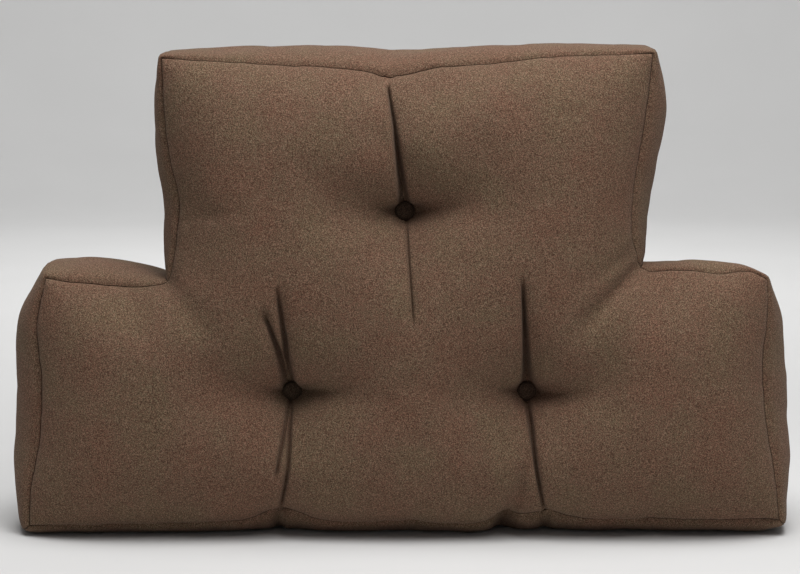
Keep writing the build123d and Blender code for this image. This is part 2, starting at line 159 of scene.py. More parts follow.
# ---- Sharp folds in the front panel ----
# Each follows a column of the mesh: the tuft that it leaves, how many columns from the tuft's own it runs,
# its points (x, z), its depth at the tuft and at its far end, and there too the widths of its left and its
# right bank.
FOLDS = (
    ("upper", 0, ((-1, 250), (-4, 275), (-8, 310), (-14, 348)), (26, 8), ((4, 12), (2, 7))),
    ("upper", 0, ((0, 240), (2, 212), (5, 168)), (8, 4), ((2, 6), (2, 4))),
    ("lower_left", -3, ((-89, 117), (-95, 146), (-104, 177)), (23, 8), ((5, 7), (3, 5))),
    ("lower_left", 0, ((-86, 117), (-89, 156), (-94, 193)), (23, 8), ((5, 7), (3, 5))),
    ("lower_left", -2, ((-88, 104), (-93, 78), (-98, 52)), (11, 8), ((3, 5), (2, 4))),
    ("lower_left", 0, ((-86, 102), (-88, 60), (-95, 22)), (10, 13), ((3, 5), (3, 6))),
    ("lower_right", 0, ((91, 117), (87, 160), (84, 200)), (28, 7), ((7, 11), (2, 4))),
    ("lower_right", 0, ((91, 104), (96, 68), (105, 20)), (15, 10), ((5, 3.5), (4, 3))),
)
CLEFT = 0.45  # this share of a fold's depth is a narrow cleft along its line
FOLD_CLOSING, FOLD_CLOSING_REACH = 0.45, 3.5  # its banks are drawn together beside its line
FOLD_OVERRUN = 4.0  # it fades out over this far past its ends
# The layers inside follow a smooth valley instead, so much deeper, and wider than the fold's banks.
UNDER_DEEPEN, UNDER_WIDEN, UNDER_MARGIN = 1.15, 1.6, 5.0
# Creases in the bottom band: each one's x, how high it lifts the fabric at the front, and its half width.
FOOT_CREASES = ((-97, 8, 4), (74, 9, 6), (106, 5, 4))
FOOT_CREASE_LENGTH, FOOT_CREASE_TOP = 45.0, 24.0  # how far back they run, and their top z
# A fold that reaches the outline draws the fabric there along: the side, the fabric's x, and how far.
DRAWN = {"crown": ((-1, -12.5),), "foot": ((-86, -8.5), (91, 13.5))}
DRAWN_REACH = 40.0
# Valleys and soft creases of each side: their points, and their depths and half widths at both ends.
VALLEYS = {
    "front": (
        (((-7, 250), (-34, 253), (-80, 260)), (17, 0), (9, 22)),
        (((7, 250), (32, 255), (76, 264)), (17, 0), (9, 22)),
        (((-93, 113), (-125, 117), (-165, 120)), (15, 0), (9, 20)),
        (((-79, 114), (-49, 118), (-14, 121)), (15, 0), (9, 18)),
        (((85, 113), (60, 118), (24, 121)), (15, 0), (9, 18)),
        (((98, 113), (120, 116), (158, 117)), (16, 0), (8, 18)),
        (((174, 206), (158, 194), (141, 177), (120, 156)), (14, 0), (3.5, 8)),
        (((173, 218), (150, 208), (126, 190)), (5, 0), (4, 7)),
        (((88, 60), (83, 38), (74, 15)), (3, 14), (3, 5)),
        (((-176, 193), (-160, 176), (-138, 154)), (5, 0), (6, 13)),
        (((-78, 112), (-56, 115), (-36, 119)), (10, 0), (3.5, 2.5)),
        (((101, 110), (120, 114), (142, 117)), (7, 0), (3.5, 2.5)),
        (((10, 246), (28, 251), (46, 256)), (5, 0), (3.5, 3)),
    ),
    "back": (
        (((-8, 250), (-60, 262)), (9, 0), (7, 16)),
        (((8, 250), (60, 262)), (9, 0), (7, 16)),
        (((-1, 256), (-3, 300), (-6, 340)), (7, 0), (5, 9)),
        (((-94, 113), (-150, 122)), (8, 0), (7, 15)),
        (((100, 113), (150, 122)), (8, 0), (7, 15)),
        (((-78, 113), (0, 108), (83, 113)), (6, 6), (9, 9)),
        (((-83, 119), (-60, 170), (-30, 205)), (7, 0), (5, 12)),
        (((88, 119), (62, 170), (32, 205)), (7, 0), (5, 12)),
        (((-176, 195), (-130, 160)), (6, 0), (6, 14)),
        (((176, 195), (130, 160)), (6, 0), (6, 14)),
    ),
}


# ---- Curves and distances ----
def smoothstep(t):
    t = np.clip(t, 0, 1)
    return t * t * (3 - 2 * t)


def unit(vectors):
    return vectors / np.maximum(np.linalg.norm(vectors, axis=-1, keepdims=True), 1e-9)


def shares_of_run(points):
    """How far along a line its points lie, from 0 to 1."""
    run = np.concatenate(([0], np.cumsum(np.linalg.norm(np.diff(points, axis=0), axis=1))))
    return run / run[-1]


def curve_through(points, shares):
    """The places at the given shares of the way along a smooth curve through some points."""
    p = np.array(points, float)
    run = shares_of_run(p)
    slope = np.gradient(p, run, axis=0)
    i = np.clip(np.searchsorted(run, shares, side="right") - 1, 0, len(p) - 2)
    h = (run[i + 1] - run[i])[:, None]
    s = (shares - run[i])[:, None] / h
    from_start = (2 * s**3 - 3 * s**2 + 1) * p[i] + (s**3 - 2 * s**2 + s) * h * slope[i]
    from_end = (3 * s**2 - 2 * s**3) * p[i + 1] + (s**3 - s**2) * h * slope[i + 1]
    return from_start + from_end


def near_line(points, x, z):
    """Each place's distance from a line, and how far along it the nearest point is, from 0 to 1."""
    p = np.array(points, float)
    lengths = np.linalg.norm(np.diff(p, axis=0), axis=1)
    nearest = np.full(np.shape(x), np.inf)
    along = np.zeros(np.shape(x))
    start = 0.0
    for (ax, az), (bx, bz), length in zip(p[:-1], p[1:], lengths):
        t = np.clip(((x - ax) * (bx - ax) + (z - az) * (bz - az)) / length**2, 0, 1)
        far = np.hypot(x - ax - t * (bx - ax), z - az - t * (bz - az))
        along = np.where(far < nearest, (start + t * length) / lengths.sum(), along)
        nearest = np.minimum(nearest, far)
        start += length
    return nearest, along


def upwards(points):
    """A line's points from its lowest to its highest."""
    return np.array(sorted(points, key=lambda point: point[1]), float)


def past_ends(points, x, z):
    """How far each place lies past either end of a line, measured along it."""
    p = np.array(points, float)
    past = np.zeros(np.shape(x))
    for end, inner in ((p[0], p[1]), (p[-1], p[-2])):
        direction = unit(end - inner)
        past += np.maximum((x - end[0]) * direction[0] + (z - end[1]) * direction[1], 0)
    return past


def tuft_distance(x, z):
    """Each place's distance from the nearest tuft's axis."""
    return np.min([np.hypot(x - tuft_x, z - tuft_z) for tuft_x, tuft_z in AXES.values()], axis=0)


def blend(ends, share):
    return ends[0] + (ends[1] - ends[0]) * share


def waves(s, wavelength, seed):
    """A smooth, irregular wave of s, between about -1 and 1."""
    turn = 2 * np.pi * s / wavelength
    wave = 0.5 * np.sin(turn + seed)
    wave += 0.3 * np.sin(1.63 * turn + 2.1 * seed)
    return wave + 0.2 * np.sin(2.71 * turn + 3.7 * seed)


# ---- The grid that the front and the back panel start as ----
GRID_STEP = 5.4
FINE_STEP = 2.0  # beside a tuft
FINE_REACH = 12.0
GRID_SIDE, GRID_NECK = 276.0, 176.0  # its x low and high up
GRID_FOOT, GRID_NOTCH, GRID_TOP = 10.0, 196.0, 358.0  # its z


def spaced(low, high, centres=(), keep=()):
    """Grid lines from low to high, finer beside each centre and passing through what to keep."""
    marks = {low, high, *keep}
    for centre in centres:
        marks |= {centre - FINE_REACH, centre, centre + FINE_REACH}
    marks = sorted(mark for mark in marks if low <= mark <= high)
    lines = [low]
    for a, b in zip(marks[:-1], marks[1:]):
        fine = any(abs((a + b) / 2 - centre) < FINE_REACH for centre in centres)
        count = max(1, round((b - a) / (FINE_STEP if fine else GRID_STEP)))
        lines += [a + (b - a) * k / count for k in range(1, count + 1)]
    return lines


COLUMNS = np.array(
    spaced(-GRID_SIDE, -GRID_NECK, keep=(-OPENING[0],))[:-1]
    + spaced(-GRID_NECK, GRID_NECK, [x for x, _ in AXES.values()])
    + spaced(GRID_NECK, GRID_SIDE, keep=(OPENING[0],))[1:]
)
ROWS = np.array(
    spaced(GRID_FOOT, GRID_NOTCH, [AXES["lower_left"][1]], (ZIP_Z - OPENING[1], ZIP_Z, ZIP_Z + OPENING[1]))
    + spaced(GRID_NOTCH, GRID_TOP, [AXES["upper"][1]])[1:]
)
GRID = np.stack(np.meshgrid(COLUMNS, ROWS, indexing="ij"), axis=-1)
NECK = [int(np.argmin(abs(COLUMNS + GRID_NECK))), int(np.argmin(abs(COLUMNS - GRID_NECK)))]
NOTCH_ROW = int(np.argmin(abs(ROWS - GRID_NOTCH)))
ACROSS, UP = range(len(COLUMNS)), range(len(ROWS))
OUTSIDE = np.array([[j > NOTCH_ROW and not NECK[0] <= i <= NECK[1] for j in UP] for i in ACROSS])

LEFT, MIDDLE, RIGHT = ACROSS[: NECK[0] + 1], ACROSS[NECK[0] : NECK[1] + 1], ACROSS[NECK[1] :]
LOW, HIGH = UP[: NOTCH_ROW + 1], UP[NOTCH_ROW:]
# The grid's points along each side of the outline, anticlockwise from the bottom left.
WALKS = {
    "foot_left": [(i, 0) for i in LEFT],
    "foot": [(i, 0) for i in MIDDLE],
    "foot_right": [(i, 0) for i in RIGHT],
    "side_right": [(ACROSS[-1], j) for j in LOW],
    "wing_right": [(i, NOTCH_ROW) for i in reversed(RIGHT)],
    "neck_right": [(NECK[1], j) for j in HIGH],
    "crown": [(i, UP[-1]) for i in reversed(MIDDLE)],
    "neck_left": [(NECK[0], j) for j in reversed(HIGH)],
    "wing_left": [(i, NOTCH_ROW) for i in reversed(LEFT)],
    "side_left": [(0, j) for j in reversed(LOW)],
}


def seam_points(name, side):
    rises = BACK_RISE if side == "back" else {}
    return [(x, z + rises.get((x, z), 0)) for x, z in SIDES[name][1]]


def share_along(name, side):
    """How far along its side of the seam each point of a walk lies, from 0 to 1."""
    places = np.array([GRID[i, j] for i, j in WALKS[name]])
    for start, pull in DRAWN.get(name, ()) if side == "front" else ():
        places[:, 0] += pull * np.exp(-(((places[:, 0] - start) / DRAWN_REACH) ** 2))
    return shares_of_run(places)


def neighbours(field):
    """In each of four directions: a field's next values, whether the grid goes on there, and the axis."""
    for axis in (0, 1):
        for step in (1, -1):
            there = ~np.roll(OUTSIDE, step, axis)
            edge = [slice(None), slice(None)]
            edge[axis] = 0 if step == 1 else -1
            there[tuple(edge)] = False
            yield np.roll(field, step, axis), there, axis


SPREAD_ROUNDS = 1500
RISE_ROUNDS = 600


def spread(shift, held):
    """Spreads the shifts of the held grid points smoothly over the others."""
    for _ in range(SPREAD_ROUNDS):
        total = np.zeros_like(shift)
        count = np.zeros(held.shape)
        for values, there, _ in neighbours(shift):
            total += np.where(there[..., None], values, 0)
            count += there
        shift = np.where((held | OUTSIDE)[..., None], shift, total / np.maximum(count, 1)[..., None])
    return shift


def grid_places(side):
    """The grid's points (x, z), with its edge on the outline and the others evenly spread inside."""
    shift = np.zeros(GRID.shape)
    held = np.zeros(OUTSIDE.shape, bool)
    for name, walk in WALKS.items():
        for (i, j), place in zip(walk, curve_through(seam_points(name, side), share_along(name, side))):
            shift[i, j] = place - GRID[i, j]
            held[i, j] = True
    if side == "front":
        for tuft, column, points, _, _ in FOLDS:
            i = int(np.argmin(abs(COLUMNS - AXES[tuft][0]))) + column
            line = upwards(points)
            for j in UP[1:-1]:
                if line[0, 1] <= ROWS[j] <= line[-1, 1]:
                    shift[i, j] = (np.interp(ROWS[j], line[:, 1], line[:, 0]) - COLUMNS[i], 0)
                    held[i, j] = True
    else:
        strip = (abs(GRID[..., 1] - ZIP_Z) < ZIP_FLAT) & (abs(GRID[..., 0]) < ZIP_FLAT_END)
        shift[strip] = 0
        held |= strip
    well = tuft_distance(GRID[..., 0], GRID[..., 1]) < FINE_REACH
    shift[well] = 0
    held |= well
    return GRID + spread(shift, held)


def edge_rise(softness):
    """How far a panel has risen from its seam towards its crown, from 0 to 1."""
    gaps = [np.gradient(COLUMNS)[:, None], np.gradient(ROWS)[None, :]]
    edge = np.zeros(OUTSIDE.shape, bool)
    for walk in WALKS.values():
        for i, j in walk:
            edge[i, j] = True
    rise = np.where(edge | OUTSIDE, 0.0, 1.0)
    for _ in range(RISE_ROUNDS):
        total = np.full(rise.shape, 1 / softness**2)
        weight = total.copy()
        for values, there, axis in neighbours(rise):
            pull = there / gaps[axis] ** 2
            total += pull * values
            weight += pull
        rise = np.where(edge | OUTSIDE, 0, total / weight)
    return rise


def well_shape(x, z):
    """Around the tufts' wells: how far the lip above hangs down, and how high the gathers stand."""
    hang, gather = np.zeros(np.shape(x)), np.zeros(np.shape(x))
    for number, (tuft_x, tuft_z) in enumerate(AXES.values()):
        r = np.maximum(np.hypot(x - tuft_x, z - tuft_z), 1e-6)
        hang += SAG_HEIGHT * np.exp(-(((r - SAG_RADIUS) / SAG_WIDTH) ** 2)) * np.maximum(z - tuft_z, 0) / r
        around = np.arctan2(z - tuft_z, x - tuft_x)
        out = np.maximum(r - WELL_RADIUS, 0)
        ripple = np.cos(GATHERS * around + 1.7 * number) + 0.5 * np.cos(WIDE_GATHERS * around + number)
        gather += GATHER_HEIGHT * ripple * np.exp(-out / GATHER_REACH) * (1 - np.exp(-out / GATHER_START))
    return hang, gather


def tuft_dip(x, z, side):
    """How far the tufts draw a panel in, as a share of the way from its crown to the buttons' seats."""
    dip = np.zeros(np.shape(x))
    for tuft_x, tuft_z in AXES.values():
        r = np.maximum(np.hypot(x - tuft_x, z - tuft_z) - WELL_RADIUS, 0)
        share = STEEP_SHARE * np.exp(-r / STEEP_REACH) + FUNNEL_SHARE * np.exp(-r / FUNNEL_REACH)
        share += DIP_SHARE * np.exp(-r / DIP_REACH[side])
        dip = np.maximum(dip, share) + WELL_MERGE * np.minimum(dip, share)
    return np.minimum(dip, 1)


def panel_height(side, x, z):
    """How far a panel stands out from the middle plane."""
    height = SEAM_Y + (CROWN[side] - SEAM_Y) * edge_rise(EDGE_SOFTNESS[side]) * EDGE_LIFT[side]
    dip = tuft_dip(x, z, side) * (CROWN[side] - SEAT[side])
    for points, depths, widths in VALLEYS[side]:
        far, along = near_line(points, x, z)
        dip += blend(depths, along) * np.exp(-((far / blend(widths, along)) ** 2))
    if side == "back":
        zip_free = smoothstep((abs(z - ZIP_Z) - ZIP_FLAT) / ZIP_EASE)
        beyond = smoothstep((abs(x) - ZIP_FLAT_END) / ZIP_EASE_END)
        strip = (1 - zip_free) * (1 - beyond)
        height = height * (1 - strip) + CROWN[side] * strip
        dip *= zip_free
    above_seat = height - dip - SEAT[side]
    return SEAT[side] + (above_seat + np.hypot(above_seat, SEAT_EASE)) / 2


# ---- The closed mesh that the cover starts as ----
BAND_ROWS = 16
FLOOR_PRESS = 3.0  # the bottom band would hang this far below the floor if it weren't pressed flat
BULGE_SOFTENING = 6  # rounds of averaging along the seam


def averaged(values):
    """Values around the seam's loop, each averaged with its two neighbours."""
    return (np.roll(values, 1, 0) + values + np.roll(values, -1, 0)) / 3


def band_profile(k):
    """Where a row of the band lies from the front to the back, from -1 to 1, and how far it bulges."""
    even = 2 * k / BAND_ROWS - 1
    w = 0.5 * even - 0.5 * math.cos(math.pi * k / BAND_ROWS)
    return w, (1 - abs(w) ** 2.4) ** 0.8


def build_cage():
    """The cover's starting places, its faces and the piece that each face belongs to."""
    places, faces, owners = [], [], []
    index = {}
    for side, outward in OUTWARD.items():
        grid = grid_places(side)
        hang, gather = well_shape(grid[..., 0], grid[..., 1])
        y = outward * (panel_height(side, grid[..., 0], grid[..., 1]) + gather)
        if side == "front":
            grid[..., 1] -= hang
        for i in ACROSS:
            for j in UP:
                if not OUTSIDE[i, j]:
                    index[side, i, j] = len(places)
                    places.append((grid[i, j, 0], y[i, j], grid[i, j, 1]))
        for i in ACROSS[:-1]:
            for j in UP[:-1]:
                if j >= NOTCH_ROW and not NECK[0] <= i < NECK[1]:
                    continue
                quad = [index[side, a, b] for a, b in ((i, j), (i + 1, j), (i + 1, j + 1), (i, j + 1))]
                faces.append(quad if side == "front" else quad[::-1])
                back_panel = "back_panel_lower" if ROWS[j + 1] < ZIP_Z + 1 else "back_panel_upper"
                owners.append("front_panel" if side == "front" else back_panel)
    loop, bulges, bands = [], [], []
    for name, walk in WALKS.items():
        band, _, steps = SIDES[name]
        share = share_along(name, "front")[:-1]
        loop += walk[:-1]
        bulge = np.interp(share, np.linspace(0, 1, len(steps)), steps)
        if band == "bottom_band":
            rest_on_floor = [places[index["front", i, j]][2] + FLOOR_PRESS for i, j in walk[:-1]]
            bulge = np.maximum(bulge, rest_on_floor)
        bulges += list(bulge)
        bands += [band] * (len(walk) - 1)
    seams = {side: [index[side, i, j] for i, j in loop] for side in OUTWARD}
    front, back = (np.array([places[k] for k in seams[side]]) for side in OUTWARD)
    tangent = np.roll(front, -2, 0) - np.roll(front, 2, 0)
    outward = np.stack((tangent[:, 2], 0 * tangent[:, 0], -tangent[:, 0]), 1)
    bulges = np.array(bulges)
    for _ in range(BULGE_SOFTENING):
        outward = averaged(outward)
        bulges = averaged(bulges)
    outward = unit(outward)
    previous = seams["front"]
    for k in range(1, BAND_ROWS + 1):
        w, belly = band_profile(k)
        if k < BAND_ROWS:
            row = blend((front, back), (w + 1) / 2) + bulges[:, None] * belly * outward
            row[:, 2] = np.maximum(row[:, 2], 0)
            current = list(range(len(places), len(places) + len(row)))
            places += [tuple(place) for place in row]
        else:
            current = seams["back"]
        for n, band in enumerate(bands):
            m = (n + 1) % len(bands)
            faces.append([previous[m], previous[n], current[n], current[m]])
            owners.append(band)
        previous = current
    return np.array(places), faces, owners


# ---- Meshes ----
def make_object(name, places, faces):
    mesh = bpy.data.meshes.new(name)
    mesh.from_pydata([tuple(place) for place in np.asarray(places) * MM], [], faces)
    mesh.polygons.foreach_set("use_smooth", [True] * len(mesh.polygons))
    mesh.update()
    made = bpy.data.objects.new(name, mesh)
    bpy.context.scene.collection.objects.link(made)
    return made


def read_vectors(data, key):
    values = np.zeros(len(data) * 3, np.float32)
    data.foreach_get(key, values)
    return values.reshape(-1, 3).astype(float)


def evaluated_mesh(made):
    """A copy of an object's mesh with its modifiers applied."""
    graph = bpy.context.evaluated_depsgraph_get()
    shown = made.evaluated_get(graph)
    return bpy.data.meshes.new_from_object(shown, preserve_all_data_layers=True, depsgraph=graph)


def apply_shell(made, thickness):
    """Gives a sheet a thickness inward from its faces, and leaves no modifier."""
    shell = made.modifiers.new("shell", "SOLIDIFY")
    shell.thickness = thickness * MM
    shell.offset = -1
    made.data = evaluated_mesh(made)
    made.modifiers.clear()


def discard(made):
    mesh = made.data
    bpy.data.objects.remove(made)
    bpy.data.meshes.remove(mesh)


# ---- Cloth simulation: blows up the cage, held at its tufts, zip, seams and foot ----
SIM_FRAMES = 22
SIM_CAP = 7.0  # how far the simulation may move a point
SEAM_HOLD = 0.85
SHIFT_SOFTENING = 4  # rounds of averaging over what it has moved
CLOTH_SETTINGS = {
    "quality": 6, "mass": 0.25, "tension_stiffness": 12, "compression_stiffness": 12, "shear_stiffness": 4,
    "bending_stiffness": 0.6, "tension_damping": 8, "compression_damping": 8, "use_pressure": True,
    "uniform_pressure_force": 2.6, "shrink_min": -0.02, "vertex_group_mass": "held", "pin_stiffness": 4,
}


def smoothed(values, faces, times):
    """Each point's values averaged with its neighbours', a few times over."""
    faces = np.array(faces)
    ends = np.concatenate([np.stack((faces[:, k], faces[:, (k + 1) % 4]), 1) for k in range(4)])
    count = np.bincount(ends[:, 0], minlength=len(values))[:, None]
    for _ in range(times):
        total = np.zeros_like(values)
        np.add.at(total, ends[:, 0], values[ends[:, 1]])
        values = (values + total / count) / 2
    return values


def simulate(places, faces):
    """The places after the simulation, none of them further than the cap from where it was."""
    cage = make_object("cage", places, faces)
    hold = np.zeros(len(places))
    hold[abs(abs(places[:, 1]) - SEAM_Y) < 0.01] = SEAM_HOLD
    hold[(tuft_distance(places[:, 0], places[:, 2]) < WELL_RADIUS + 1.5) & (abs(places[:, 1]) < 70)] = 1
    strip = (abs(places[:, 2] - ZIP_Z) < ZIP_FLAT) & (abs(places[:, 0]) < ZIP_FLAT_END)
    hold[strip & (places[:, 1] > SEAM_Y + 1)] = 1
    hold[places[:, 2] < 0.5] = 1
    group = cage.vertex_groups.new(name="held")
    for value in (SEAM_HOLD, 1.0):
        group.add([int(k) for k in np.flatnonzero(hold == value)], value, "REPLACE")
    cloth = cage.modifiers.new("cloth", "CLOTH")
    for key, value in CLOTH_SETTINGS.items():
        setattr(cloth.settings, key, value)
    cloth.settings.effector_weights.gravity = 0
    cloth.collision_settings.use_collision = False
    cloth.point_cache.frame_start = 1
    cloth.point_cache.frame_end = SIM_FRAMES
    for number in range(1, SIM_FRAMES + 1):
        bpy.context.scene.frame_set(number)
    settled = evaluated_mesh(cage)
    shift = read_vectors(settled.vertices, "co") / MM - places
    bpy.context.scene.frame_set(1)
    bpy.data.meshes.remove(settled)
    discard(cage)
    shift[hold == 1] = 0
    shift = smoothed(shift, faces, SHIFT_SOFTENING)
    size = np.maximum(np.linalg.norm(shift, axis=1), 1e-9)[:, None]
    moved = places + shift * SIM_CAP * np.tanh(size / SIM_CAP) / size
    moved[:, 2] = np.maximum(moved[:, 2], 0)
    return moved


def subdivided(places, rest, faces, owners):
    """The places, rest places, faces and owners of the surface with each face divided in four."""
    cage = make_object("cage", places, faces)
    kept_rest = cage.data.attributes.new("rest", "FLOAT_VECTOR", "POINT")
    kept_rest.data.foreach_set("vector", rest.astype(np.float32).ravel())
    for name in PIECES:
        cage.data.materials.append(bpy.data.materials.get(name) or bpy.data.materials.new(name))
    cage.data.polygons.foreach_set("material_index", [PIECES.index(owner) for owner in owners])
    cage.modifiers.new("subdivision", "SUBSURF").levels = 1
    mesh = evaluated_mesh(cage)
    fine = read_vectors(mesh.vertices, "co") / MM
    fine_rest = read_vectors(mesh.attributes["rest"].data, "vector")
    fine_faces = np.array([tuple(face.vertices) for face in mesh.polygons])
    fine_owners = np.array([face.material_index for face in mesh.polygons])
    bpy.data.meshes.remove(mesh)
    discard(cage)
    for name in PIECES:
        bpy.data.materials.remove(bpy.data.materials[name])
    return fine, fine_rest, fine_faces, fine_owners


def vertex_normals(places, faces):
    a, b, c, d = (places[faces[:, k]] for k in range(4))
    face_normals = np.cross(c - a, d - b)
    normals = np.zeros_like(places)
    for k in range(4):
        np.add.at(normals, faces[:, k], face_normals)
    return unit(normals)


# ---- Folds, seams and puckers, pressed into the subdivided surface ----
SEAM_VALLEY, SEAM_VALLEY_WIDTH = 2.8, 2.5
ZIP_VALLEY, ZIP_VALLEY_WIDTH = 1.1, 2.5  # the seams that run on from the zip's ends
PUCKER, PUCKER_LENGTH, PUCKER_REACH = 0.35, 24.0, 9.0
UNEVEN, UNEVEN_LENGTH = 0.7, 61.0  # of the boxing


def press_folds(places, rest, under=False):
    """Presses the folds into the front, or under them the smooth valleys that the layers inside follow."""
    x, z = rest[:, 0], rest[:, 2]
    front = smoothstep((-rest[:, 1] - SEAM_Y + 12) / 10)
    depth = np.zeros(len(places))
    pinch = np.zeros(len(places))
    for _, _, points, depths, banks in FOLDS:
        far, along = near_line(points, x, z)
        fold_depth = depths[0] + (depths[1] - depths[0]) * along**2
        if under:
            valley = np.exp(-((far / (UNDER_WIDEN * max(banks[0]) + UNDER_MARGIN)) ** 2))
            depth = np.maximum(depth, UNDER_DEEPEN * fold_depth * valley)
            continue
        line = upwards(points)
        offset = x - np.interp(z, line[:, 1], line[:, 0])
        left, right = (blend((banks[0][k], banks[1][k]), along) for k in (0, 1))
        bank = np.exp(-far / np.where(offset < 0, left, right))
        cleft_width = blend((0.21 * depths[0], 0.13 * depths[1] + 0.4), along**0.4)
        bank = (1 - CLEFT) * bank + CLEFT * np.exp(-((far / cleft_width) ** 4))
        ending = np.exp(-((past_ends(points, x, z) / FOLD_OVERRUN) ** 2))
        ending *= 0.55 + 0.45 * smoothstep((1 - along) / 0.12)
        depth = np.maximum(depth, bank * ending * fold_depth)
        closing = FOLD_CLOSING * offset * np.exp(-abs(offset) / FOLD_CLOSING_REACH) * min(1, max(depths) / 8)
        pinch += closing * ending
    pressed = places.copy()
    floor = np.maximum(places[:, 1], -SEAT["front"])
    pressed[:, 1] = np.minimum(places[:, 1] + front * depth, np.where(front > 0, floor, places[:, 1]))
    pressed[:, 0] -= front * pinch
    fading = 1 - smoothstep((rest[:, 1] + SEAM_Y) / FOOT_CREASE_LENGTH)
    for crease_x, height, half_width in FOOT_CREASES:
        lift = height * fading * np.exp(-(((x - crease_x) / half_width) ** 2))
        pressed[:, 2] += lift * (1 - smoothstep((z - FOOT_CREASE_TOP + 10) / 10))
    return pressed


def seam_distance(rest):
    """Each place's distance from the seam of its own side, and how far along the seam that is."""
    distance = np.zeros(len(rest))
    run = np.zeros(len(rest))
    for side, outward in OUTWARD.items():
        line = [curve_through(seam_points(name, side), np.linspace(0, 1, 25)[:-1]) for name in SIDES]
        line = np.concatenate((*line, line[0][:1]))
        own = rest[:, 1] * outward >= 0
        far, along = near_line(line, rest[own, 0], rest[own, 2])
        distance[own] = np.hypot(far, np.maximum(SEAM_Y - abs(rest[own, 1]), 0))
        run[own] = along * np.linalg.norm(np.diff(line, axis=0), axis=1).sum()
    return distance, run


def press_seams(places, rest, faces):
    """Draws the seams in a little and puckers the fabric along them."""
    distance, run = seam_distance(rest)
    across_zip = abs(rest[:, 2] - ZIP_Z)
    on_panel = abs(rest[:, 1]) > SEAM_Y
    valley = SEAM_VALLEY * np.exp(-distance / SEAM_VALLEY_WIDTH)
    beside_zip = (rest[:, 1] > SEAM_Y) & (abs(rest[:, 0]) > OPENING[0] + 1)
    zip_valley = ZIP_VALLEY * np.exp(-across_zip / ZIP_VALLEY_WIDTH)
    valley = np.maximum(valley, np.where(beside_zip, zip_valley, 0))
    seed = np.where(rest[:, 1] < 0, 1.3, 4.2)
    pucker = PUCKER * waves(run, PUCKER_LENGTH, seed) * np.exp(-((distance / PUCKER_REACH) ** 2))
    uneven = UNEVEN * waves(run + 0.6 * rest[:, 1], UNEVEN_LENGTH, 2.2) * (1 - np.exp(-distance / 20))
    swell = pucker + np.where(on_panel, 0, uneven)
    flat = (rest[:, 1] > 0) & (across_zip < ZIP_FLAT + 4)
    inward = valley - np.where(flat, 0, swell)
    moved = places - vertex_normals(places, faces) * inward[:, None]
    on_floor = places[:, 2] < 0.3
    moved[:, 2] = np.where(on_floor, places[:, 2], np.maximum(moved[:, 2], 0))
    return moved


# ---- Fabric with thickness ----
RIM_WIDTH, RIM_DEPTH = 0.8, 1.7  # a seamed edge is rolled in over this width and turned in this deep
RIM_RINGS = ((0.45, 0.15), (0.18, 0.45), (0.08, 1.0))  # across and down, as shares of them
RIM_LEVELS = len(RIM_RINGS) + 1  # rows of faces around a rim, the first of them the rolled edge


def thick(places, normals, faces, thickness):
    """A closed sheet: the given faces, the same faces a thickness below, and rounded rims between."""
    used = np.unique(faces)
    order = np.full(len(places), -1)
    order[used] = np.arange(len(used))
    p, n, f = places[used], normals[used], order[faces]
    quads = f.tolist()
    edges = dict.fromkeys(edge for quad in quads for edge in zip(quad, quad[1:] + quad[:1]))
    rim = [(a, b) for a, b in edges if (b, a) not in edges]
    on_rim = {a for edge in rim for a in edge}
    inward = np.zeros_like(p)
    for quad in quads:
        inner = [k for k in quad if k not in on_rim]
        for a in on_rim.intersection(quad) if inner else ():
            inward[a] += np.mean(p[inner], axis=0) - p[a]
    rim_order = sorted(on_rim)
    inward = inward[rim_order]
    inward -= n[rim_order] * np.sum(inward * n[rim_order], axis=1)[:, None]
    inward = unit(inward)
    edge_places, edge_normals = p[rim_order].copy(), n[rim_order]
    top = p.copy()
    top[rim_order] = edge_places + inward * RIM_WIDTH
    rings = [
        edge_places + inward * across * RIM_WIDTH - edge_normals * down * RIM_DEPTH
        for across, down in RIM_RINGS
    ]
    bottom = p - n * thickness
    count, rim_count = len(p), len(rim_order)
    slot_of = {a: k for k, a in enumerate(rim_order)}
    solid = quads + [[count + k for k in reversed(quad)] for quad in quads]
    for a, b in rim:
        levels = [(a, b)]
        for ring in range(len(rings)):
            base = 2 * count + ring * rim_count
            levels.append((base + slot_of[a], base + slot_of[b]))
        levels.append((count + a, count + b))
        for (a0, b0), (a1, b1) in zip(levels[:-1], levels[1:]):
            solid.append([b0, a0, a1, b1])
    return np.concatenate((top, bottom, *rings)), solid


def paint_seam_shade(piece, panel_faces):
    """Gives the turned-in edges of a panel a darker copy of the fabric: painted shade that darkens the seam
    grooves.
    """
    piece.data.materials.append(SEAM_SHADE_FABRIC)
    in_rim = np.arange(len(piece.data.polygons)) - 2 * panel_faces
    painted_shade = (in_rim >= 0) & (in_rim % RIM_LEVELS > 0)
    piece.data.polygons.foreach_set("material_index", painted_shade.astype(np.int32))


def finish(made, material, node=None):
    """Gives a piece of the cushion its material, puts it under the cushion's body, and hides the CAD node
    that it stands for.
    """
    made.data.materials.clear()
    made.data.materials.append(material)
    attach(made, "cushion")
    if node:
        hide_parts(node)


